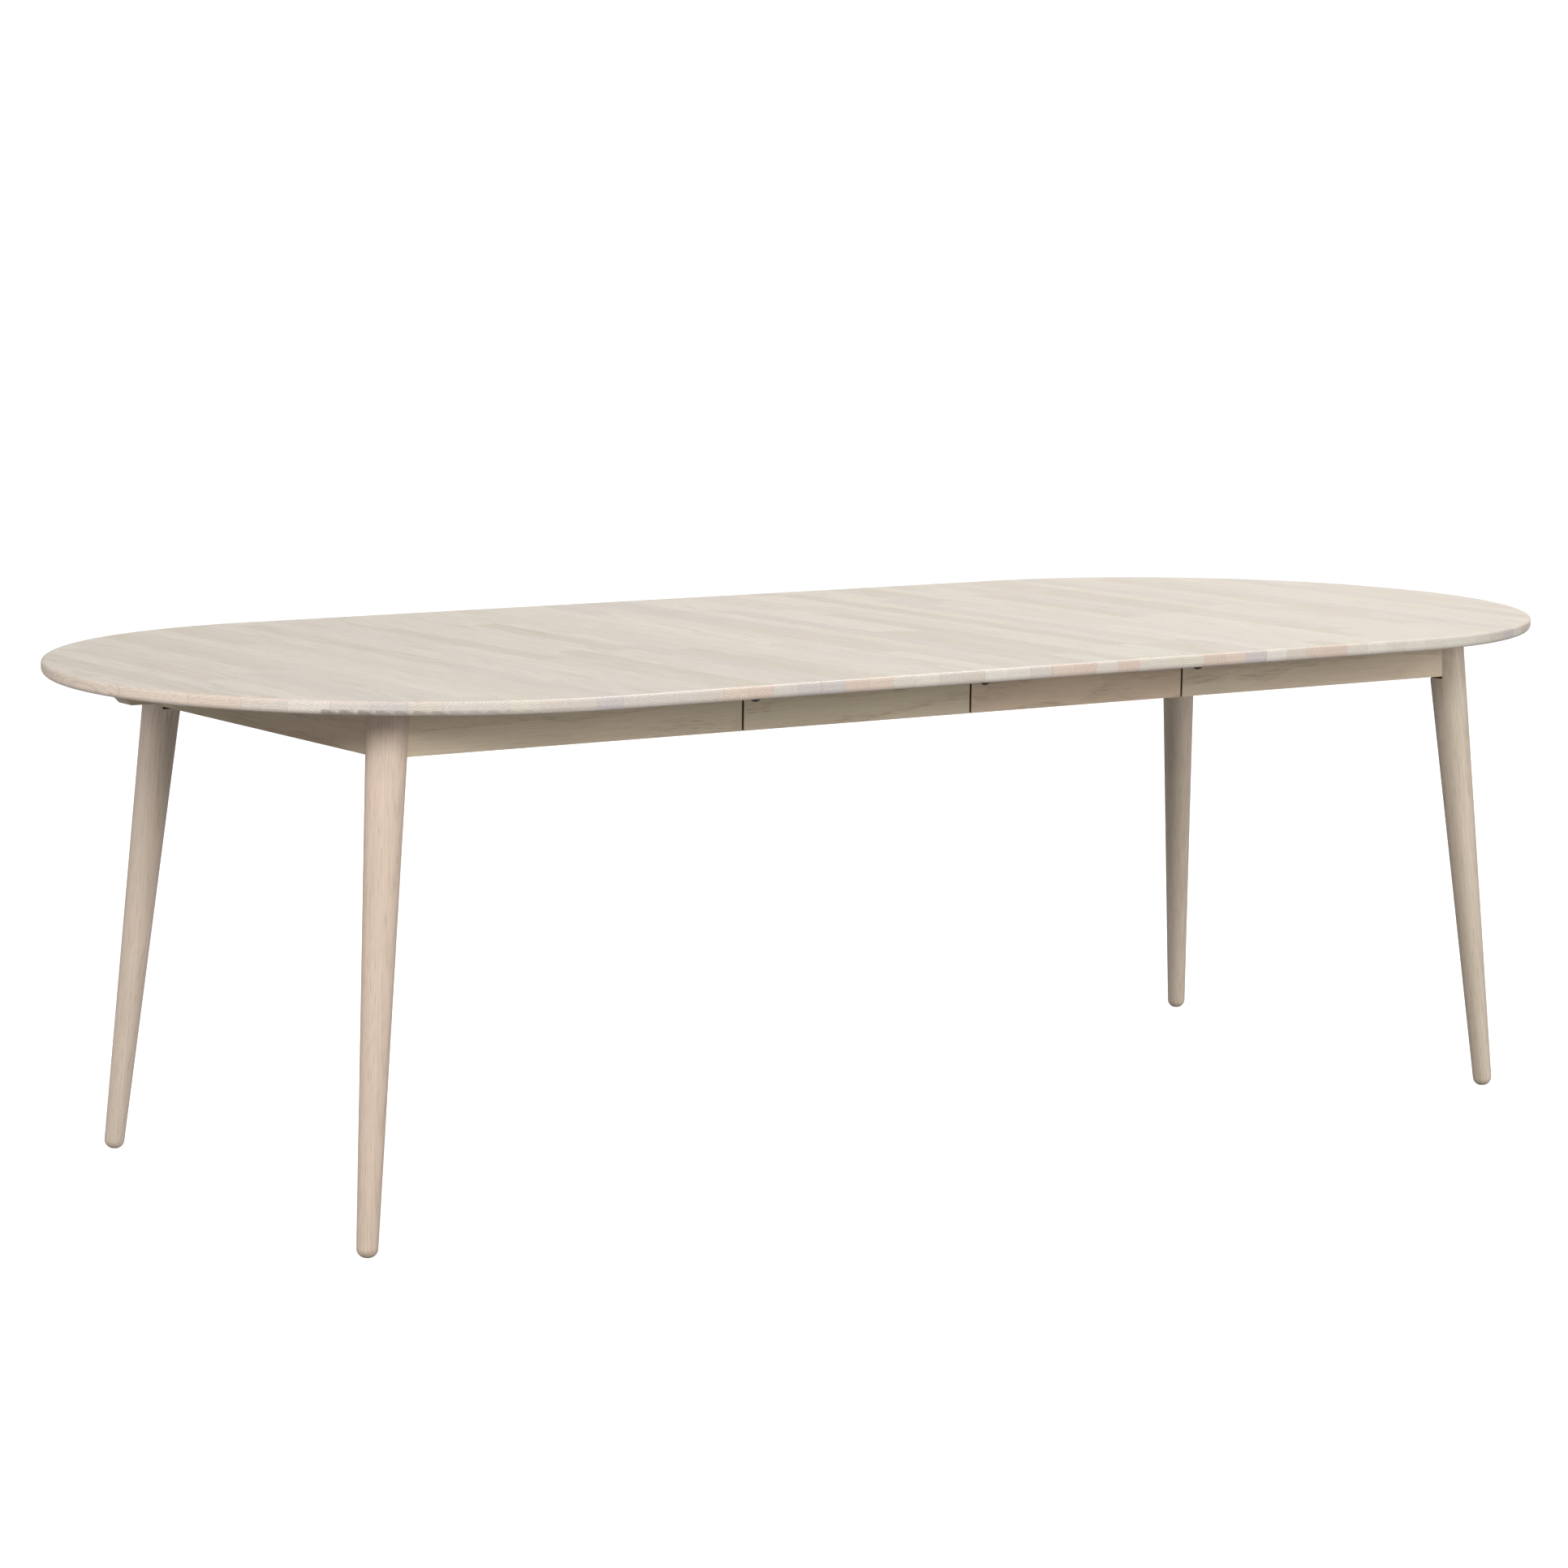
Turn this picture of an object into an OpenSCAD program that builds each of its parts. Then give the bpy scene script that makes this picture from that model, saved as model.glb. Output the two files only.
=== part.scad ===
// Extendable dining table: two rounded halves on telescopic wooden rails, with two
// drop-in leaves between them. X runs along the table, Y across it and Z up, and the
// origin is on the floor under the middle of the table with both leaves in.

/* [Table] */
// Length with both leaves in
table_length = 2500; // [2440:10:2560]
// Width across the top
table_width = 1060; // [1040:10:1100]
// Height of the top surface above the floor
table_height = 750; // [730:5:770]
// Width of one leaf along the table
leaf_width = 400; // [380:5:410]

/* [Top] */
// Thickness of the boards
top_thickness = 19; // [19:1:24]
// Rounding of the upper edge of the rim
rim_upper_radius = 5; // [2:0.5:6]
// Rounding of the lower edge of the rim
rim_lower_radius = 8; // [4:0.5:10]
// Gap between neighbouring boards at a seam
seam_gap = 0.4; // [0.3:0.1:1]

/* [Frame] */
// Distance from the table's middle to the outer face of an end apron
end_apron_x = 974; // [966:1:986]
// Distance from the table's middle to the outer face of a long apron
long_apron_y = 341; // [335:1:356]
// Height of the aprons
apron_height = 70; // [66:1:76]
// Thickness of the aprons
apron_thickness = 22; // [20:1:24]
// Gap between the long aprons at a seam
apron_gap = 3.6; // [2:0.2:6]
// Width of the middle batten under the boards
batten_width = 38; // [30:1:46]
// Thickness of the middle batten
batten_thickness = 21; // [17:1:22]
// Distance from the table's middle to the far end of the middle batten
batten_end_x = 1202; // [1180:1:1210]

/* [Legs] */
// Diameter of a leg under the boards
leg_top_diameter = 58.5; // [54:0.5:62]
// Diameter of a leg at the floor, before its end is rounded
leg_foot_diameter = 29.5; // [28:0.5:34]
// Rounding of the foot
foot_radius = 13; // [8:0.5:13]
// Distance from the table's middle to a leg's axis at the floor, along the table
foot_x = 1025; // [1005:1:1035]
// Distance from the table's middle to a leg's axis at the floor, across the table
foot_y = 380; // [370:1:390]

/* [Extension rails] */
// Distance from the table's middle to the middle of a set of rails
rail_set_y = 180; // [170:1:190]
// Length of every rail
rail_length = 1100; // [1080:5:1104]
// Height of a fixed rail
rail_height = 50; // [46:1:54]
// Width of a fixed rail
rail_width = 24; // [24:1:28]
// Width of the sliding rail between two fixed rails
slider_width = 20; // [18:1:24]
// How far the table pulls open past its two leaves
spare_travel = 40; // [30:5:40]

/* [Catches] */
// Distance from the table's middle to the pivots of the leaf catches
catch_y = 380; // [378:1:400]
// Distance from a seam to the pivot of a catch and to its keeper stud
catch_reach = 20; // [20:1:24]

/* [Hidden] */
$fn = 64;

top_color = [0.87, 0.82, 0.76];
frame_color = [0.72, 0.65, 0.57];
rail_color = [0.80, 0.72, 0.60];
steel_color = [0.70, 0.70, 0.72];
catch_color = [0.16, 0.15, 0.15];

slack = 0.05;
underside_z = table_height - top_thickness;
apron_bottom_z = underside_z - apron_height;
rim_y = table_width / 2;
arc_center_x = table_length / 2 - rim_y;
board_inset = seam_gap / 2;
apron_inset = apron_gap / 2;
end_apron_inner_x = end_apron_x - apron_thickness;
long_apron_inner_y = long_apron_y - apron_thickness;
long_apron_end_x = end_apron_x - 8;

// A leg's axis meets the boards a little outside the inner corner of the aprons.
leg_top_x = end_apron_inner_x + 4.5;
leg_top_y = long_apron_inner_y + 3.5;
leg_lean_x = foot_x - leg_top_x;
leg_lean_y = foot_y - leg_top_y;
leg_axis_length = norm([leg_lean_x, leg_lean_y, underside_z]);
foot_sink = 0.5;
shoulder_gap = 4;

block_near = 48;
block_far = 88;
block_height = 50;
block_bottom_z = apron_bottom_z + 8;
leg_bolt_radius = 4;
leg_bolt_start = 3;
leg_bolt_end = block_far / sqrt(2) + 15;
leg_bolt_rises = [13, 37];

// T-shaped tongues on the sliders run in grooves in the fixed rails.
member_gap = 1;
tongue_gap = 0.5;
groove_mouth = 7;
groove_head = 15;
mouth_depth = 5;
head_depth = 4;
slider_relief = 2;
rail_center_z = underside_z - rail_height / 2;
rail_far_x = end_apron_inner_x - 6;
rail_near_x = rail_far_x - rail_length;
slider_half = rail_length / 2;
stop_pin_radius = 2.5;
stop_pin_x = -rail_near_x - 10;
tongue_end_x = stop_pin_x - stop_pin_radius - spare_travel / 2 - 2.5;
rail_screw_y = 16.5;
rail_screw_xs = [480, 690, 900];

pin_radius = 4;
pin_reach = 18;
pin_z = underside_z + top_thickness / 2;
left_pin_ys = [-440, 440];
right_pin_ys = [-100, 100];

bracket_size = 25;
bracket_width = 30;
bracket_gauge = 2;
bracket_screw_at = 14;
short_screw = 14;
batten_screw = 28;

plate_gauge = 2;
lever_thickness = 4;
lever_z = underside_z - 9;
lever_radius = 10;
pivot_radius = 3;
stud_radius = 3;
knob_radius = 9;
knob_bottom_z = underside_z - 21.5;
notch_near = 4.8;
notch_far = 3.4;

module on_side(side) {
    if (side == "right")
        mirror([1, 0, 0]) children();
    else
        children();
}

module in_row(row) {
    if (row == "rear")
        mirror([0, 1, 0]) children();
    else
        children();
}

module both_rows() {
    children();
    mirror([0, 1, 0]) children();
}

// Extrudes a profile drawn in Y and Z along X.
module along_x(from_x, to_x)
    translate([from_x, 0, 0])
        rotate([90, 0, 90])
            linear_extrude(to_x - from_x) children();

// ---- Fasteners ----

// A pan-head screw that points up, with the underside of its head at the origin.
module screw(length, extra = 0) {
    translate([0, 0, -2]) cylinder(r = 4 + extra, h = 2);
    cylinder(r = 1.75 + extra, h = length + extra);
}

module bracket() {
    difference() {
        union() {
            translate([-bracket_width / 2, 0, -bracket_gauge])
                cube([bracket_width, bracket_size, bracket_gauge]);
            translate([-bracket_width / 2, 0, -bracket_size])
                cube([bracket_width, bracket_gauge, bracket_size]);
        }
        bracket_screws(slack);
    }
}

module bracket_screws(extra = 0) {
    translate([0, bracket_screw_at, -bracket_gauge]) screw(short_screw, extra);
    translate([0, bracket_gauge, -bracket_screw_at])
        rotate([90, 0, 0]) screw(short_screw, extra);
}

module half_bracket_places() {
    both_rows()
        for (x = [-820, -540])
            translate([x, -long_apron_inner_y, underside_z]) children();
    for (y = [-80, 80])
        translate([-end_apron_inner_x, y, underside_z])
            rotate([0, 0, -90]) children();
}

module leaf_bracket_places()
    both_rows()
        for (x = [-leaf_width + 80, -80])
            translate([x, -long_apron_inner_y, underside_z]) children();

module half_batten_screws(extra = 0)
    for (x = [-1110, -830, -550])
        translate([x, 0, underside_z - batten_thickness + 2]) screw(batten_screw, extra);

module leaf_batten_screws(extra = 0)
    for (x = [-leaf_width + 90, -90])
        translate([x, 0, underside_z - batten_thickness + 2]) screw(batten_screw, extra);

// ---- Boards ----

// Half of a board's cross-section, from the middle to the rounded rim.
module rim_profile() {
    square([rim_y - rim_lower_radius, top_thickness]);
    translate([0, rim_lower_radius])
        square([rim_y, top_thickness - rim_lower_radius - rim_upper_radius]);
    translate([0, top_thickness - rim_upper_radius])
        square([rim_y - rim_upper_radius, rim_upper_radius]);
    translate([rim_y - rim_lower_radius, rim_lower_radius])
        circle(rim_lower_radius);
    translate([rim_y - rim_upper_radius, top_thickness - rim_upper_radius])
        circle(rim_upper_radius);
}

module straight_board(from_x, to_x)
    translate([0, 0, underside_z])
        both_rows() along_x(from_x, to_x) rim_profile();

module pin_sockets(seam_x, direction, ys)
    for (y = ys)
        translate([seam_x, y, pin_z])
            rotate([0, 90 * direction, 0])
                cylinder(r = pin_radius + 0.2, h = pin_reach + 2);

// A slot that is open below, so that a leaf drops over the pins of its neighbour.
module pin_slot(from_x, y) {
    slot_radius = pin_radius + 0.4;
    translate([from_x, y, pin_z])
        rotate([0, 90, 0]) cylinder(r = slot_radius, h = pin_reach + 2);
    translate([from_x, y - slot_radius, underside_z - 1])
        cube([pin_reach + 2, 2 * slot_radius, pin_z - underside_z + 1]);
}

// Drawn as the left half; the right half mirrors it, with the screws of its own rails.
module half_top(side, own_pins, other_pins) {
    difference() {
        union() {
            translate([-arc_center_x, 0, underside_z])
                rotate([0, 0, 90]) rotate_extrude(angle = 180, $fn = 180) rim_profile();
            straight_board(-arc_center_x, -leaf_width - board_inset);
        }
        pin_sockets(-leaf_width, -1, own_pins);
        pin_sockets(-leaf_width, -1, other_pins);
        half_bracket_places() bracket_screws(slack);
        half_batten_screws(slack);
        both_rows() on_side(side) rail_screws(side, slack);
    }
}

module leaf_board() {
    difference() {
        straight_board(-leaf_width + board_inset, -board_inset);
        for (y = concat(left_pin_ys, right_pin_ys)) {
            pin_slot(-leaf_width - 1, y);
            pin_slot(-pin_reach - 1, y);
        }
        leaf_bracket_places() bracket_screws(slack);
        leaf_batten_screws(slack);
        catch_screws(0, slack);
        keeper_screws(-leaf_width, slack);
    }
}

module locating_pins(ys)
    color(rail_color)
        for (y = ys)
            translate([-leaf_width - pin_reach, y, pin_z])
                rotate([0, 90, 0]) cylinder(r = pin_radius, h = 2 * pin_reach);

// ---- Aprons, battens and legs ----

module end_apron_blank()
    translate([-end_apron_x, -long_apron_inner_y, apron_bottom_z])
        cube([apron_thickness, 2 * long_apron_inner_y, apron_height]);

module long_apron_blank()
    translate([-long_apron_end_x, -long_apron_y, apron_bottom_z])
        cube([long_apron_end_x - leaf_width - apron_inset, apron_thickness, apron_height]);

module leaf_apron_blank()
    translate([-leaf_width + apron_inset, -long_apron_y, apron_bottom_z])
        cube([leaf_width - apron_gap, apron_thickness, apron_height]);

module end_apron()
    color(frame_color)
        difference() {
            end_apron_blank();
            translate([-end_apron_x - 1, -batten_width / 2, underside_z - batten_thickness])
                cube([apron_thickness + 2, batten_width, batten_thickness + 1]);
            half_bracket_places() bracket_screws(slack);
        }

module long_apron()
    color(frame_color)
        difference() {
            long_apron_blank();
            half_bracket_places() bracket_screws(slack);
        }

module leaf_apron()
    color(frame_color)
        difference() {
            leaf_apron_blank();
            leaf_bracket_places() bracket_screws(slack);
        }

// The batten's far end is cut back at 45 degrees.
module half_batten()
    color(frame_color)
        difference() {
            translate([0, batten_width / 2, underside_z])
                rotate([90, 0, 0])
                    linear_extrude(batten_width)
                        polygon([
                            [-batten_end_x, 0],
                            [-batten_end_x + batten_thickness, -batten_thickness],
                            [-leaf_width - apron_inset, -batten_thickness],
                            [-leaf_width - apron_inset, 0]
                        ]);
            half_batten_screws(slack);
        }

module leaf_batten()
    color(frame_color)
        difference() {
            translate([
                -leaf_width + apron_inset,
                -batten_width / 2,
                underside_z - batten_thickness
            ])
                cube([leaf_width - apron_gap, batten_width, batten_thickness]);
            leaf_batten_screws(slack);
        }

// Half outline of a leg: a straight taper with a rounded foot.
module leg_profile() {
    foot_edge = leg_foot_diameter / 2 - foot_radius;
    polygon([
        [0, 0],
        [foot_edge, 0],
        [foot_edge + foot_radius, foot_radius],
        [leg_top_diameter / 2, leg_axis_length],
        [leg_top_diameter / 2, leg_axis_length + 10],
        [0, leg_axis_length + 10]
    ]);
    intersection() {
        translate([foot_edge, foot_radius]) circle(foot_radius);
        translate([foot_edge, 0]) square(foot_radius);
    }
}

// The ends of two aprons sit in the top of a leg, with a shadow gap under them.
module leg_notches()
    for (drop = [0, shoulder_gap])
        translate([0, 0, -drop]) {
            end_apron_blank();
            long_apron_blank();
        }

module leg()
    color(frame_color)
        difference() {
            translate([-foot_x, -foot_y, -foot_sink])
                rotate([-asin(leg_lean_y / leg_axis_length), atan(leg_lean_x / underside_z), 0])
                    rotate_extrude($fn = 96) leg_profile();
            translate([-foot_x - 60, -foot_y - 60, -20]) cube([120, 120, 20]);
            translate([-leg_top_x - 60, -leg_top_y - 60, underside_z]) cube([120, 120, 30]);
            leg_notches();
            leg_bolts(slack);
        }

// ---- Corner joints ----

// Places things along the inward diagonal of the front left corner.
module corner_diagonal(rise, distance)
    translate([-end_apron_inner_x, -long_apron_inner_y, block_bottom_z + rise])
        rotate([0, 0, 45])
            translate([distance, 0, 0])
                rotate([0, 90, 0]) children();

module leg_bolts(extra = 0)
    for (rise = leg_bolt_rises)
        corner_diagonal(rise, leg_bolt_start)
            cylinder(r = leg_bolt_radius + extra, h = leg_bolt_end - leg_bolt_start);

module corner_block()
    difference() {
        translate([-end_apron_inner_x, -long_apron_inner_y, block_bottom_z])
            linear_extrude(block_height)
                polygon([[block_near, 0], [block_far, 0], [0, block_far], [0, block_near]]);
        leg_bolts(0.5);
    }

module leg_nuts()
    for (rise = leg_bolt_rises) {
        corner_diagonal(rise, block_far / sqrt(2))
            difference() {
                cylinder(r = 10, h = 2);
                translate([0, 0, -1]) cylinder(r = leg_bolt_radius + slack, h = 4);
            }
        corner_diagonal(rise, block_far / sqrt(2) + 2)
            difference() {
                cylinder(r = 7.5, h = 6.5, $fn = 6);
                translate([0, 0, -1]) cylinder(r = leg_bolt_radius + slack, h = 9);
            }
    }

// ---- Extension rails ----

// Profile of a fixed rail: it starts at the face that meets the slider.
module fixed_rail_profile()
    difference() {
        translate([0, -rail_height / 2]) square([rail_width, rail_height]);
        translate([-1, -groove_mouth / 2]) square([mouth_depth + 1.5, groove_mouth]);
        translate([mouth_depth, -groove_head / 2]) square([head_depth, groove_head]);
    }

module tongue_profile() {
    neck = groove_mouth - 2 * tongue_gap;
    head = groove_head - 2 * tongue_gap;
    reach = member_gap + mouth_depth + tongue_gap;
    translate([-1, -neck / 2]) square([reach + 2, neck]);
    translate([reach, -head / 2]) square([head_depth - 2 * tongue_gap, head]);
}

// Puts a rail's profile beside the slider: the left half's rails are the outer ones.
module rail_place(side)
    translate([0, -rail_set_y, rail_center_z])
        mirror([0, side == "left" ? 1 : 0, 0])
            translate([0, slider_width / 2 + member_gap, 0]) children();

module rail_screws(side, extra = 0)
    rail_place(side)
        for (x = rail_screw_xs)
            translate([side == "left" ? -x : x, rail_screw_y, -rail_height / 2]) {
                translate([0, 0, 14]) cylinder(r = 4.5 + extra, h = 3 + extra);
                translate([0, 0, 14]) cylinder(r = 2.2 + extra, h = rail_height);
            }

module rail_stop(side, extra = 0)
    rail_place(side)
        translate([
            side == "left" ? stop_pin_x : -stop_pin_x,
            mouth_depth + head_depth / 2,
            -rail_height / 2
        ])
            cylinder(r = stop_pin_radius + extra, h = rail_height - 15);

module fixed_rail(side)
    color(rail_color)
        difference() {
            rail_place(side)
                if (side == "left")
                    along_x(-rail_far_x, -rail_near_x) fixed_rail_profile();
                else
                    along_x(rail_near_x, rail_far_x) fixed_rail_profile();
            rail_screws(side, slack);
            rail_place(side)
                for (x = rail_screw_xs)
                    translate([side == "left" ? -x : x, rail_screw_y, -rail_height / 2 - 1])
                        cylinder(r = 5, h = 15.5);
            rail_stop(side, slack);
        }

// The slider stands a little lower than the fixed rails and never rubs on the boards.
module slider()
    color(rail_color) {
        height = rail_height - 2 * slider_relief;
        translate([0, -rail_set_y, rail_center_z]) {
            along_x(-slider_half, slider_half)
                translate([-slider_width / 2, -height / 2]) square([slider_width, height]);
            mirror([0, 1, 0])
                along_x(-slider_half, tongue_end_x)
                    translate([slider_width / 2, 0]) tongue_profile();
            along_x(-tongue_end_x, slider_half)
                translate([slider_width / 2, 0]) tongue_profile();
        }
    }

// ---- Leaf catches ----

// Each seam has a turning catch on its left board and a keeper stud on its right board.
module catch_pivot(seam_x)
    translate([seam_x - catch_reach, -catch_y, 0]) children();

module keeper_center(seam_x)
    translate([seam_x + catch_reach, -catch_y, 0]) children();

module catch_screws(seam_x, extra = 0)
    both_rows()
        catch_pivot(seam_x)
            for (x = [-12, 12])
                translate([x, 0, underside_z - plate_gauge]) screw(short_screw, extra);

module keeper_screws(seam_x, extra = 0)
    both_rows()
        keeper_center(seam_x)
            for (y = [-8, 8])
                translate([0, y, underside_z - plate_gauge]) screw(short_screw, extra);

module catch_plate(seam_x)
    both_rows() {
        difference() {
            catch_pivot(seam_x)
                translate([-17, -10, underside_z - plate_gauge]) cube([34, 20, plate_gauge]);
            catch_screws(seam_x, slack);
        }
        catch_pivot(seam_x) {
            translate([0, 0, lever_z - 4])
                cylinder(r = pivot_radius, h = underside_z - plate_gauge - lever_z + 4);
            translate([0, 0, lever_z - 6.5]) cylinder(r = 5, h = 2.5);
        }
    }

module keeper_plate(seam_x)
    both_rows() {
        difference() {
            keeper_center(seam_x)
                translate([-10, -14, underside_z - plate_gauge]) cube([20, 28, plate_gauge]);
            keeper_screws(seam_x, slack);
        }
        keeper_center(seam_x)
            translate([0, 0, lever_z - 3])
                cylinder(r = stud_radius, h = underside_z - plate_gauge - lever_z + 3);
    }

// The lever lies along +X when it hooks the stud, with its notch open towards +Y.
module lever_outline()
    difference() {
        union() {
            circle(lever_radius);
            translate([0, -lever_radius]) square([2 * catch_reach, 2 * lever_radius]);
            translate([2 * catch_reach, 0]) circle(lever_radius);
        }
        translate([2 * catch_reach - notch_near, -notch_far])
            square([notch_near + notch_far, lever_radius + 2 * notch_far]);
    }

module catch_lever(seam_x)
    color(catch_color)
        catch_pivot(seam_x)
            rotate([0, 0, -90])
                difference() {
                    union() {
                        translate([0, 0, lever_z])
                            linear_extrude(lever_thickness) lever_outline();
                        translate([0, 0, lever_z - 3.7])
                            cylinder(r = 6.5, h = underside_z - plate_gauge - lever_z + 3.4);
                        translate([catch_reach, 0, 0]) catch_knob();
                    }
                    translate([0, 0, lever_z - 10])
                        cylinder(r = pivot_radius + slack, h = 30);
                }

// A round knob with a domed lower end hangs under the middle of the lever.
module catch_knob() {
    dome_z = knob_bottom_z + knob_radius;
    translate([0, 0, dome_z]) cylinder(r = knob_radius, h = 3);
    translate([0, 0, dome_z]) cylinder(r = 4.5, h = lever_z - dome_z + 1);
    intersection() {
        translate([0, 0, dome_z]) sphere(knob_radius);
        translate([-knob_radius, -knob_radius, knob_bottom_z - 1])
            cube([2 * knob_radius, 2 * knob_radius, knob_radius + 1]);
    }
}

// ---- Sub-parts of the halves ----

module top_left()
    color(top_color)
        difference() {
            half_top("left", left_pin_ys, right_pin_ys);
            catch_screws(-leaf_width, slack);
        }

module top_right()
    color(top_color)
        difference() {
            on_side("right") half_top("right", right_pin_ys, left_pin_ys);
            keeper_screws(leaf_width, slack);
        }

module end_apron_left() end_apron();
module end_apron_right() on_side("right") end_apron();
module front_apron_left() long_apron();
module rear_apron_left() in_row("rear") long_apron();
module front_apron_right() on_side("right") long_apron();
module rear_apron_right() on_side("right") in_row("rear") long_apron();
module front_leg_left() leg();
module rear_leg_left() in_row("rear") leg();
module front_leg_right() on_side("right") leg();
module rear_leg_right() on_side("right") in_row("rear") leg();
module corner_blocks_left() color(rail_color) both_rows() corner_block();
module corner_blocks_right() on_side("right") corner_blocks_left();
module leg_bolts_left() color(steel_color) both_rows() leg_bolts();
module leg_bolts_right() on_side("right") leg_bolts_left();
module leg_nuts_left() color(steel_color) both_rows() leg_nuts();
module leg_nuts_right() on_side("right") leg_nuts_left();
module batten_left() half_batten();
module batten_right() on_side("right") half_batten();
module front_rail_left() fixed_rail("left");
module rear_rail_left() in_row("rear") fixed_rail("left");
module front_rail_right() fixed_rail("right");
module rear_rail_right() in_row("rear") fixed_rail("right");
module rail_screws_left() color(steel_color) both_rows() rail_screws("left");
module rail_screws_right() color(steel_color) both_rows() rail_screws("right");
module rail_stops_left() color(steel_color) both_rows() rail_stop("left");
module rail_stops_right() color(steel_color) both_rows() rail_stop("right");
module locating_pins_left() locating_pins(left_pin_ys);
module locating_pins_right() on_side("right") locating_pins(right_pin_ys);
module brackets_left() color(steel_color) half_bracket_places() bracket();
module brackets_right() on_side("right") brackets_left();

module half_screws()
    color(steel_color) {
        half_bracket_places() bracket_screws();
        half_batten_screws();
    }

module screws_left() {
    half_screws();
    color(steel_color) catch_screws(-leaf_width);
}

module screws_right() {
    on_side("right") half_screws();
    color(steel_color) keeper_screws(leaf_width);
}

module catch_plates_left() color(steel_color) catch_plate(-leaf_width);
module keeper_plates_right() color(steel_color) keeper_plate(leaf_width);

// ---- Sub-parts of the rails and the leaves ----

module front_slider() slider();
module rear_slider() in_row("rear") slider();

// The leaves are alike: one lies on each side of the middle seam.
module leaf_place(side)
    translate([side == "right" ? leaf_width : 0, 0, 0]) children();

module leaf_screws() {
    leaf_bracket_places() bracket_screws();
    leaf_batten_screws();
    catch_screws(0);
    keeper_screws(-leaf_width);
}

module leaf_plates() {
    catch_plate(0);
    keeper_plate(-leaf_width);
}

module leaf_top_left() color(top_color) leaf_board();
module leaf_top_right() leaf_place("right") leaf_top_left();
module leaf_front_apron_left() leaf_apron();
module leaf_front_apron_right() leaf_place("right") leaf_apron();
module leaf_rear_apron_left() in_row("rear") leaf_apron();
module leaf_rear_apron_right() leaf_place("right") leaf_rear_apron_left();
module leaf_batten_left() leaf_batten();
module leaf_batten_right() leaf_place("right") leaf_batten();
module leaf_brackets_left() color(steel_color) leaf_bracket_places() bracket();
module leaf_brackets_right() leaf_place("right") leaf_brackets_left();
module leaf_screws_left() color(steel_color) leaf_screws();
module leaf_screws_right() leaf_place("right") leaf_screws_left();
module leaf_plates_left() color(steel_color) leaf_plates();
module leaf_plates_right() leaf_place("right") leaf_plates_left();

module left_seam_front_catch() catch_lever(-leaf_width);
module left_seam_rear_catch() in_row("rear") catch_lever(-leaf_width);
module middle_seam_front_catch() catch_lever(0);
module middle_seam_rear_catch() in_row("rear") catch_lever(0);
module right_seam_front_catch() catch_lever(leaf_width);
module right_seam_rear_catch() in_row("rear") catch_lever(leaf_width);

top_left();
end_apron_left();
front_apron_left();
rear_apron_left();
front_leg_left();
rear_leg_left();
corner_blocks_left();
leg_bolts_left();
leg_nuts_left();
batten_left();
front_rail_left();
rear_rail_left();
rail_screws_left();
rail_stops_left();
locating_pins_left();
brackets_left();
screws_left();
catch_plates_left();
top_right();
end_apron_right();
front_apron_right();
rear_apron_right();
front_leg_right();
rear_leg_right();
corner_blocks_right();
leg_bolts_right();
leg_nuts_right();
batten_right();
front_rail_right();
rear_rail_right();
rail_screws_right();
rail_stops_right();
locating_pins_right();
brackets_right();
screws_right();
keeper_plates_right();
front_slider();
rear_slider();
leaf_top_left();
leaf_front_apron_left();
leaf_rear_apron_left();
leaf_batten_left();
leaf_brackets_left();
leaf_screws_left();
leaf_plates_left();
leaf_top_right();
leaf_front_apron_right();
leaf_rear_apron_right();
leaf_batten_right();
leaf_brackets_right();
leaf_screws_right();
leaf_plates_right();
left_seam_front_catch();
left_seam_rear_catch();
middle_seam_front_catch();
middle_seam_rear_catch();
right_seam_front_catch();
right_seam_rear_catch();
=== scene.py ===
"""Looks of an extendable dining table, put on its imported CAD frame.

Every CAD node keeps its own mesh and gets a procedural material: oak, rail wood, steel or
nylon. A pale floor, soft studio lights and the camera stand around the table. Lengths are
in metres, with X along the table, Y across it and Z up from the floor."""

import math

import bpy
from mathutils import Matrix, Vector


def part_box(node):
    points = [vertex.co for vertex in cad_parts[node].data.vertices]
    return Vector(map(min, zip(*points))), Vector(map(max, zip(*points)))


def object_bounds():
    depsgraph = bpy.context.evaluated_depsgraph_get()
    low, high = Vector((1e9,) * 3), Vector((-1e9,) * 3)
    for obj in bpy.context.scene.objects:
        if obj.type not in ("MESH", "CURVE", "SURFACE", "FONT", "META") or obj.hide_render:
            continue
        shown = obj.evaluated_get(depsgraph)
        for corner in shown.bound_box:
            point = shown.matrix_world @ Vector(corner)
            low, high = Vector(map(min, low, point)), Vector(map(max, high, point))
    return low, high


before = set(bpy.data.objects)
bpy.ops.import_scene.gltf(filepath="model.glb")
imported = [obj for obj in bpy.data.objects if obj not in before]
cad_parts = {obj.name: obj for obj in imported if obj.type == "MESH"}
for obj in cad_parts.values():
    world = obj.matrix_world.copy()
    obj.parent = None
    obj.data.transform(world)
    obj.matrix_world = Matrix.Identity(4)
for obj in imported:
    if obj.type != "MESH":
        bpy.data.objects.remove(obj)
CAD_LOW, CAD_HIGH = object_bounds()

# ---- Sizes worked out from the frame ----

TOP_LOW, TOP_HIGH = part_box("top_left")
LEAF_LOW, LEAF_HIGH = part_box("leaf_top_right")
APRON_LOW, APRON_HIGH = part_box("front_apron_right")
LEG_LOW, LEG_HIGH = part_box("front_leg_right")
TOP_MIDDLE_Z = (TOP_LOW.z + TOP_HIGH.z) / 2
LEAF_WIDTH = round(LEAF_HIGH.x - LEAF_LOW.x, 3)

LEG_FOOT_RADIUS = 0.0145
LEG_TOP_RADIUS = 0.0285
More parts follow.
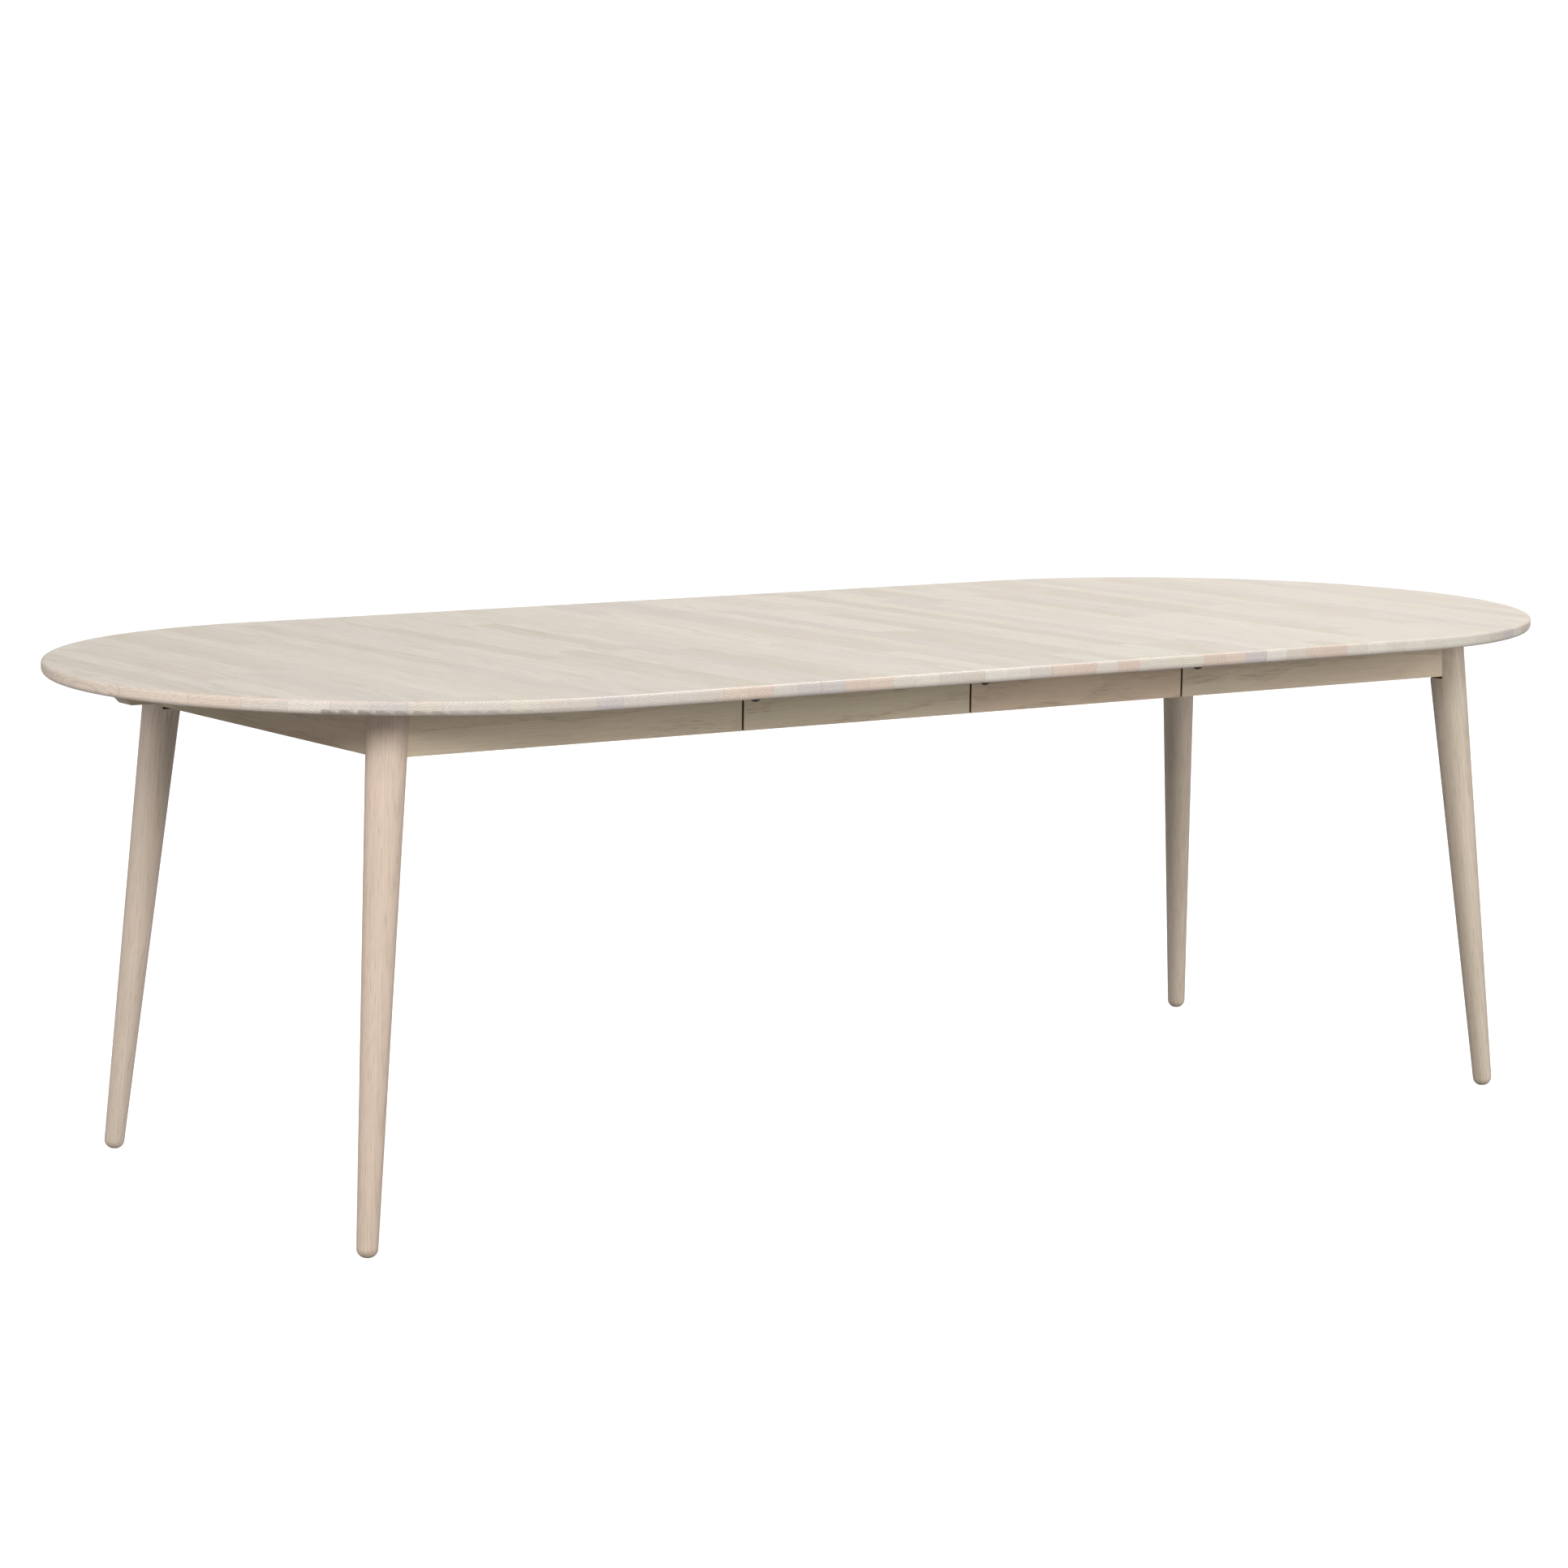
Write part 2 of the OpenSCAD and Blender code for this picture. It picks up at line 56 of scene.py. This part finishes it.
# How far the middle of a leg moves inwards for each metre upwards.
LEG_LEAN_X = (LEG_HIGH.x - LEG_FOOT_RADIUS - LEG_LOW.x - LEG_TOP_RADIUS) / LEG_HIGH.z
LEG_LEAN_Y = (LEG_HIGH.y - LEG_TOP_RADIUS - LEG_LOW.y - LEG_FOOT_RADIUS) / LEG_HIGH.z

# ---- Wood ----

STAVES_PER_LEAF = 10
STAVE_WIDTH = LEAF_WIDTH / STAVES_PER_LEAF
SHORTEST_STAVE = 0.30
STAVE_LENGTH_SPREAD = 0.40
# Rows of staves start this far in front of the middle, each shifted by up to so many staves.
STAVE_RUN_UP = 3.0
STAVE_SHIFT = 7.0
GLUE_LINE = 0.0007
GRAIN_DEPTH = 0.00012

# Scales of the noise across the grain, per metre, and the share of each that it has along it.
RING_WANDER_SCALE, RING_WANDER_ALONG = 26.0, 0.22
FIBRE_SCALE, FIBRE_ALONG = 420.0, 0.025
PORE_SCALE, PORE_ALONG = 950.0, 0.045
TONE_SCALE, TONE_ALONG = 55.0, 0.08

# The frame's boards are counted in leaf widths from the middle, and the halves are the end ones.
LEFT_HALF, RIGHT_HALF = -2.0, 1.0

# Each seed gives other boards.
STAVE_ROW_SEED = (3.0, 5.0)
STAVE_SEED = 11.0
LONG_SEED = 243.0
CROSS_SEED = 4.0
LEG_SEED = 253.0

APRON_TINT = (1.00, 1.00, 0.99, 1.0)
LEG_TINT = (0.97, 0.98, 1.085, 1.0)

# ---- Studio ----

PALE = (0.975, 0.985, 1.0, 1.0)
FLOOR_SIZE = 60
FLOOR_GREY = (0.30, 0.30, 0.305, 1.0)
FLOOR_GLOW = 0.96
SKY_GLOW = 1.03
SKY_LIGHT = 0.285

SOFTBOX_SIZE = 1.8
SOFTBOX_DISTANCE = 6.0
# Name, heading and rise in degrees, and power in watts. Heading 0 is over +X and 90 over +Y.
SOFTBOXES = (
    ("front_softbox", 240, 22, 152),
    ("front_left_softbox", 210, 22, 66),
    ("left_softbox", 180, 21, 92),
    ("low_right_softbox", 300, 12, 130),
    ("rear_softbox", 30, 55, 330),
)

CAMERA_PLACE = (-3.676, -5.107, 1.4136)
# Degrees. Yaw turns from +Y towards +X, and pitch looks down.
CAMERA_YAW, CAMERA_PITCH, CAMERA_ROLL = 35.10, 9.605, 0.68
CAMERA_LENS_MM, CAMERA_SENSOR_MM = 95.79, 36
CAMERA_SHIFT_Y = 0.0683


# ---- Node building ----

def linear(*rgb):
    """An sRGB colour given as 0 to 255, as the linear colour that a node takes."""
    def channel(value):
        value /= 255
        return value / 12.92 if value <= 0.04045 else ((value + 0.055) / 1.055) ** 2.4
    return (*map(channel, rgb), 1.0)


class Paint:
    """One material's node tree, built with short calls that return sockets.

    Each value that a call takes is a number or another socket."""

    def __init__(self, name):
        self.material = bpy.data.materials.new(name)
        self.material.use_nodes = True
        self.tree = self.material.node_tree
        self.shader = self.tree.nodes["Principled BSDF"]

    def put(self, socket, value):
        if isinstance(value, bpy.types.NodeSocket):
            self.tree.links.new(value, socket)
        else:
            socket.default_value = value

    def node(self, kind, *values, **settings):
        """A new node; values fill its inputs in order, and None leaves one alone."""
        made = self.tree.nodes.new("ShaderNode" + kind)
        for name, value in settings.items():
            setattr(made, name, value)
        for socket, value in zip(made.inputs, values):
            if value is not None:
                self.put(socket, value)
        return made

    def math(self, operation, *values):
        return self.node("Math", *values, operation=operation).outputs[0]

    def add(self, a, b):
        return self.math("ADD", a, b)

    def take(self, a, b):
        return self.math("SUBTRACT", a, b)

    def times(self, a, b):
        return self.math("MULTIPLY", a, b)

    def divide(self, a, b):
        return self.math("DIVIDE", a, b)

    def scaled(self, value, factor, offset):
        return self.math("MULTIPLY_ADD", value, factor, offset)

    def absolute(self, value):
        return self.math("ABSOLUTE", value)

    def whole(self, value):
        """The whole number at or below the value."""
        return self.math("FLOOR", value)

    def step(self, value, low, high, start=0.0, end=1.0):
        """Goes smoothly from start to end as value rises from low to high."""
        return self.node("MapRange", value, low, high, start, end,
                         interpolation_type="SMOOTHSTEP").outputs[0]

    def join(self, x, y, z):
        return self.node("CombineXYZ", x, y, z).outputs[0]

    def split(self, vector):
        return self.node("SeparateXYZ", vector).outputs

    def point(self):
        """The point on the piece at rest, in metres."""
        return self.node("TexCoord").outputs["Object"]

    def place(self):
        """X, Y and Z of that point."""
        return self.split(self.point())

    def facing(self, kind="Normal"):
        """X, Y and Z of the way the face looks."""
        return self.split(self.node("NewGeometry").outputs[kind])

    def noise(self, vector, scale, detail=2.0, roughness=0.5):
        return self.node("TexNoise", vector, None, scale, detail, roughness).outputs[0]

    def dice(self, x, y, z):
        """Three random numbers, from 0 to 1, that are the same wherever x, y and z are."""
        made = self.node("TexWhiteNoise", self.join(x, y, z), noise_dimensions="3D")
        return self.split(made.outputs["Color"])

    def ramp(self, value, *colours, smooth=False):
        """Evenly spaced sRGB colours. It steps from one to the next unless smooth."""
        made = self.node("ValToRGB", value)
        ramp = made.color_ramp
        ramp.interpolation = "LINEAR" if smooth else "CONSTANT"
        share = len(colours) - 1 if smooth else len(colours)
        while len(ramp.elements) < len(colours):
            ramp.elements.new(0.5)
        for index, colour in enumerate(colours):
            ramp.elements[index].position = index / share
            ramp.elements[index].color = linear(*colour)
        return made.outputs[0]

    def blend(self, factor, a, b, kind="MIX"):
        """Colour a with b over it, where factor is 1."""
        made = self.tree.nodes.new("ShaderNodeMix")
        made.data_type = "RGBA"
        made.blend_type = kind
        self.put(made.inputs["Factor"], factor)
        self.put(made.inputs[6], a)
        self.put(made.inputs[7], b)
        return made.outputs[2]

    def stain(self, colour, where, strength, rgb):
        """The colour with an sRGB one over it, at that strength where it is 1."""
        return self.blend(self.times(where, strength), colour, linear(*rgb))

    def tint(self, colour, tint):
        return self.blend(1.0, colour, tint, "MULTIPLY")

    def shade(self, colour, grey):
        return self.tint(colour, self.join(grey, grey, grey))

    def finish(self, colour, roughness, height, depth):
        """Sets the shader's colour, its roughness and a bump of that depth in metres."""
        self.put(self.shader.inputs["Base Color"], colour)
        self.put(self.shader.inputs["Roughness"], roughness)
        bump = self.node("Bump", 1.0, depth)
        self.put(bump.inputs["Height"], height)
        self.put(self.shader.inputs["Normal"], bump.outputs[0])
        return self.material


# ---- Oak ----

def oak_figure(paint, across, along, depth, luck, ring, wave, lean, heart_spread, heart_nearest):
    """Early wood, pores and fibres, each 0 to 1, of a piece sawn from a trunk.

    Ring is the spacing of the growth rings and wave is how far they wander, in metres. The
    trunk leans a little from the piece, and its heart lies off to one side, as luck has it."""
    heart_across = paint.add(paint.scaled(luck[1], 2 * heart_spread, -heart_spread),
                             paint.times(along, paint.scaled(luck[0], 2 * lean, -lean)))
    heart_depth = paint.add(paint.scaled(luck[2], heart_spread, heart_nearest),
                            paint.times(along, paint.scaled(luck[1], 2 * lean, -lean)))
    from_heart = paint.join(paint.take(across, heart_across), 0.0, paint.add(depth, heart_depth))
    radius = paint.node("VectorMath", from_heart, operation="LENGTH").outputs["Value"]
    wander_place = paint.join(across, paint.times(along, RING_WANDER_ALONG), paint.add(depth, luck[0]))
    wander = paint.noise(wander_place, RING_WANDER_SCALE, detail=3.0)
    rings = paint.divide(paint.add(radius, paint.times(wander, wave)), ring)
    early = paint.step(paint.math("FRACT", rings), 0.04, 0.55, start=1.0, end=0.0)
    own_depth = paint.add(depth, paint.times(luck[2], 3.0))
    fibre_place = paint.join(across, paint.times(along, FIBRE_ALONG), own_depth)
    fibre = paint.noise(fibre_place, FIBRE_SCALE, detail=4.0, roughness=0.6)
    pore_place = paint.join(across, paint.times(along, PORE_ALONG), own_depth)
    pore = paint.noise(pore_place, PORE_SCALE, detail=1.0)
    pores = paint.times(paint.step(pore, 0.52, 0.68), paint.scaled(early, 0.75, 0.25))
    return early, pores, fibre


def staves(paint):
    """Place in a stave, its luck and its glue line. Staves run across the table, end to end."""
    x, y, z = paint.place()
    row = paint.divide(x, STAVE_WIDTH)
    number = paint.whole(row)
    row_luck = paint.dice(number, *STAVE_ROW_SEED)
    length = paint.scaled(row_luck[0], STAVE_LENGTH_SPREAD, SHORTEST_STAVE)
    staves_along = paint.divide(paint.scaled(y, 1.0, STAVE_RUN_UP), length)
    staves_along = paint.add(staves_along, paint.times(row_luck[1], STAVE_SHIFT))
    luck = paint.dice(number, paint.whole(staves_along), STAVE_SEED)
    across = paint.times(paint.scaled(paint.take(row, number), 1.0, -0.5), STAVE_WIDTH)
    glue = paint.step(paint.absolute(across), STAVE_WIDTH / 2 - GLUE_LINE, STAVE_WIDTH / 2)
    return across, y, paint.scaled(z, 1.0, -TOP_MIDDLE_Z), luck, glue


def white_oak():
    """The tops: staves under a white-pigmented matt lacquer, with end grain at the rim."""
    paint = Paint("white_oak")
    across, along, depth, luck, glue = staves(paint)
    early, pores, fibre = oak_figure(paint, across, along, depth, luck, ring=0.0036, wave=0.009,
                                     lean=0.05, heart_spread=0.08, heart_nearest=0.016)
    facing = paint.facing()
    end_grain = paint.step(paint.absolute(facing[1]), 0.30, 0.85)
    rim = paint.step(paint.absolute(facing[2]), 0.75, 0.98, start=1.0, end=0.0)
    tone = paint.math("FRACT", paint.add(paint.times(luck[0], 5.0), luck[2]))
    face = paint.ramp(tone, (195, 187, 175), (198, 190, 178), (193, 183, 171), (197, 190, 177),
                      (192, 184, 175), (200, 192, 180), (190, 181, 168), (196, 187, 177))
    face = paint.stain(face, rim, 0.75, (217, 198, 183))
    end = paint.ramp(tone, (203, 193, 180), (210, 203, 191), (209, 191, 175), (207, 199, 185),
                     (195, 187, 183), (213, 206, 196), (206, 186, 171), (203, 195, 186))
    wood = paint.blend(end_grain, face, end)
    early_shade = paint.blend(end_grain, linear(176, 164, 147), linear(160, 147, 139))
    wood = paint.blend(paint.times(early, paint.scaled(end_grain, 0.08, 0.24)), wood, early_shade)
    wood = paint.stain(wood, pores, 0.30, (160, 146, 126))
    wood = paint.shade(wood, paint.step(fibre, 0.30, 0.70, start=0.93, end=1.05))
    wood = paint.stain(wood, glue, 0.25, (150, 136, 120))
    paint.shader.inputs["Specular IOR Level"].default_value = 0.3
    roughness = paint.add(paint.step(fibre, 0.2, 0.8, start=0.48, end=0.58), paint.times(pores, 0.12))
    dips = paint.add(paint.times(pores, 0.8), paint.times(glue, 0.8))
    return paint.finish(wood, roughness, paint.take(paint.times(fibre, 0.35), dips), GRAIN_DEPTH)


def frame_oak(paint, across, along, depth, seed, tint, ends=0.0):
    """Solid oak of the aprons, battens and legs. Across, along and depth follow the grain.

    Each board between two seams has its own tone, and ends is 1 on sawn ends, which are darker."""
    x, y, _ = paint.place()
    board = paint.whole(paint.divide(x, LEAF_WIDTH))
    board = paint.math("MAXIMUM", paint.math("MINIMUM", board, RIGHT_HALF), LEFT_HALF)
    luck = paint.dice(board, paint.math("SIGN", y), seed)
    early, pores, fibre = oak_figure(paint, across, along, depth, luck, ring=0.0024, wave=0.004,
                                     lean=0.008, heart_spread=0.05, heart_nearest=0.12)
    drift = paint.noise(paint.join(across, paint.times(along, TONE_ALONG), depth), TONE_SCALE)
    wood = paint.ramp(drift, (201, 182, 160), (207, 189, 168), (213, 196, 176), smooth=True)
    own = paint.ramp(luck[1], (250, 255, 242), (254, 254, 250), (255, 248, 239), smooth=True)
    wood = paint.tint(paint.tint(wood, own), tint)
    wood = paint.stain(wood, early, 0.20, (178, 157, 132))
    wood = paint.stain(wood, pores, 0.40, (148, 124, 98))
    wood = paint.shade(wood, paint.step(fibre, 0.25, 0.75, start=0.93, end=1.04))
    wood = paint.stain(wood, ends, 0.85, (112, 84, 62))
    roughness = paint.add(paint.step(fibre, 0.2, 0.8, start=0.48, end=0.58), paint.times(pores, 0.1))
    return paint.finish(wood, roughness, paint.take(paint.times(fibre, 0.4), pores), GRAIN_DEPTH)


def sawn_ends(paint, axis):
    """1 on faces square to that axis, where a board was sawn off."""
    return paint.step(paint.absolute(paint.facing("True Normal")[axis]), 0.80, 0.95)


def long_oak():
    """Aprons and battens that run along the table."""
    paint = Paint("frame_oak_long")
    x, y, z = paint.place()
    height = paint.scaled(z, 1.0, -APRON_LOW.z)
    depth = paint.scaled(paint.absolute(y), 1.0, -APRON_HIGH.y)
    return frame_oak(paint, height, x, depth, LONG_SEED, APRON_TINT, sawn_ends(paint, 0))


def cross_oak():
    """End aprons, which run across the table."""
    paint = Paint("frame_oak_cross")
    x, y, z = paint.place()
    height = paint.scaled(z, 1.0, -APRON_LOW.z)
    depth = paint.scaled(paint.absolute(x), 1.0, -APRON_HIGH.x)
    return frame_oak(paint, height, y, depth, CROSS_SEED, APRON_TINT, sawn_ends(paint, 1))


def leg_oak():
    """Turned legs, with the grain along each leg's own leaning axis."""
    paint = Paint("frame_oak_leg")
    x, y, z = paint.place()
    across = paint.add(paint.absolute(x), paint.times(z, LEG_LEAN_X))
    across = paint.scaled(across, 1.0, LEG_FOOT_RADIUS - LEG_HIGH.x)
    depth = paint.add(paint.absolute(y), paint.times(z, LEG_LEAN_Y))
    depth = paint.scaled(depth, 1.0, LEG_LOW.y + LEG_FOOT_RADIUS)
    return frame_oak(paint, across, z, depth, LEG_SEED, LEG_TINT)


# ---- Other materials ----

def rail_wood():
    """Plain pale hardwood of the extension rails, corner blocks and locating pins."""
    paint = Paint("rail_wood")
    x, y, z = paint.place()
    fibre = paint.noise(paint.join(paint.times(x, 0.03), y, z), 380.0, detail=4.0, roughness=0.6)
    drift = paint.noise(paint.join(paint.times(x, 0.1), y, z), 30.0)
    fleck = paint.noise(paint.join(paint.times(x, 0.12), y, z), 600.0, detail=1.0)
    wood = paint.ramp(drift, (200, 178, 148), (216, 195, 166), smooth=True)
    wood = paint.stain(wood, paint.step(fleck, 0.60, 0.70), 0.35, (160, 126, 92))
    wood = paint.blend(paint.step(fibre, 0.3, 0.7, end=0.25), wood, linear(178, 148, 112))
    roughness = paint.step(fibre, 0.2, 0.8, start=0.50, end=0.62)
    return paint.finish(wood, roughness, fibre, depth=0.0001)


def zinc_steel():
    """Bright zinc-plated steel with a faint cloudy plating."""
    paint = Paint("zinc_steel")
    cloud = paint.noise(paint.point(), 90.0, detail=4.0, roughness=0.6)
    grit = paint.noise(paint.point(), 1600.0)
    paint.shader.inputs["Metallic"].default_value = 1.0
    plating = paint.ramp(cloud, (178, 180, 184), (202, 203, 203), (206, 204, 196), smooth=True)
    roughness = paint.step(cloud, 0.25, 0.75, start=0.30, end=0.46)
    return paint.finish(plating, roughness, grit, depth=0.00003)


def dark_nylon():
    """Moulded dark nylon with a fine texture."""
    paint = Paint("dark_nylon")
    grit = paint.noise(paint.point(), 1100.0, detail=3.0, roughness=0.6)
    plastic = paint.ramp(paint.noise(paint.point(), 60.0), (58, 51, 45), (74, 66, 59), smooth=True)
    roughness = paint.step(grit, 0.2, 0.8, start=0.42, end=0.58)
    return paint.finish(plastic, roughness, grit, depth=0.00006)


def dress_nodes():
    """Gives every CAD node the material of the first line that holds a word of its name."""
    materials = (
        (zinc_steel(), ("plates", "bolts", "nuts", "brackets", "screws", "stops")),
        (dark_nylon(), ("catch",)),
        (rail_wood(), ("pins", "blocks", "rail", "slider")),
        (cross_oak(), ("end_apron",)),
        (long_oak(), ("apron", "batten")),
        (leg_oak(), ("leg",)),
        (white_oak(), ("top",)),
    )
    for name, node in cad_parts.items():
        material = next(made for made, words in materials if any(word in name for word in words))
        node.data.materials.clear()
        node.data.materials.append(material)


# ---- Stage ----

def make_floor():
    """A floor that runs past the camera's view on every side. It looks white, but its bounce is soft."""
    bpy.ops.mesh.primitive_plane_add(size=FLOOR_SIZE, location=(0, 0, CAD_LOW.z))
    floor = bpy.context.object
    floor.name = "floor"
    paint = Paint("pale_floor")
    paint.shader.inputs["Base Color"].default_value = FLOOR_GREY
    paint.shader.inputs["Roughness"].default_value = 0.9
    paint.shader.inputs["Emission Color"].default_value = PALE
    seen = paint.node("LightPath").outputs["Is Camera Ray"]
    paint.put(paint.shader.inputs["Emission Strength"], paint.times(seen, FLOOR_GLOW))
    floor.data.materials.append(paint.material)


def make_world():
    """White to look at, and a dimmer soft light on the table."""
    world = bpy.data.worlds.new("studio")
    world.use_nodes = True
    nodes, links = world.node_tree.nodes, world.node_tree.links
    sky = nodes["Background"]
    sky.inputs["Color"].default_value = PALE
    seen = nodes.new("ShaderNodeLightPath")
    strength = nodes.new("ShaderNodeMapRange")
    strength.inputs["To Min"].default_value = SKY_LIGHT
    strength.inputs["To Max"].default_value = SKY_GLOW
    links.new(seen.outputs["Is Camera Ray"], strength.inputs["Value"])
    links.new(strength.outputs[0], sky.inputs["Strength"])
    bpy.context.scene.world = world


def make_softbox(name, heading, rise, power):
    """A square soft light that faces the middle of the top."""
    light = bpy.data.lights.new(name, "AREA")
    light.shape = "SQUARE"
    light.size = SOFTBOX_SIZE
    light.energy = power
    heading, rise = math.radians(heading), math.radians(rise)
    away = Vector((math.cos(heading) * math.cos(rise), math.sin(heading) * math.cos(rise), math.sin(rise)))
    lamp = bpy.data.objects.new(name, light)
    lamp.location = Vector((0, 0, TOP_HIGH.z)) + away * SOFTBOX_DISTANCE
    lamp.rotation_euler = away.to_track_quat("Z", "Y").to_euler()
    lamp.visible_camera = False
    bpy.context.scene.collection.objects.link(lamp)


def make_camera():
    """A long lens, a little above the table, in front of its left end."""
    yaw, pitch, roll = map(math.radians, (CAMERA_YAW, CAMERA_PITCH, CAMERA_ROLL))
    ahead = Vector((math.sin(yaw) * math.cos(pitch), math.cos(yaw) * math.cos(pitch), -math.sin(pitch)))
    level = Vector((math.cos(yaw), -math.sin(yaw), 0))
    above = level.cross(ahead)
    right = level * math.cos(roll) + above * math.sin(roll)
    up = above * math.cos(roll) - level * math.sin(roll)
    data = bpy.data.cameras.new("camera")
    data.sensor_width = CAMERA_SENSOR_MM
    data.lens = CAMERA_LENS_MM
    data.shift_y = CAMERA_SHIFT_Y
    camera = bpy.data.objects.new("camera", data)
    turned = Matrix((right, up, -ahead)).transposed().to_4x4()
    camera.matrix_world = Matrix.Translation(CAMERA_PLACE) @ turned
    bpy.context.scene.collection.objects.link(camera)
    bpy.context.scene.camera = camera


dress_nodes()
make_floor()
make_world()
for softbox in SOFTBOXES:
    make_softbox(*softbox)
make_camera()
bpy.context.scene.view_settings.view_transform = "Standard"
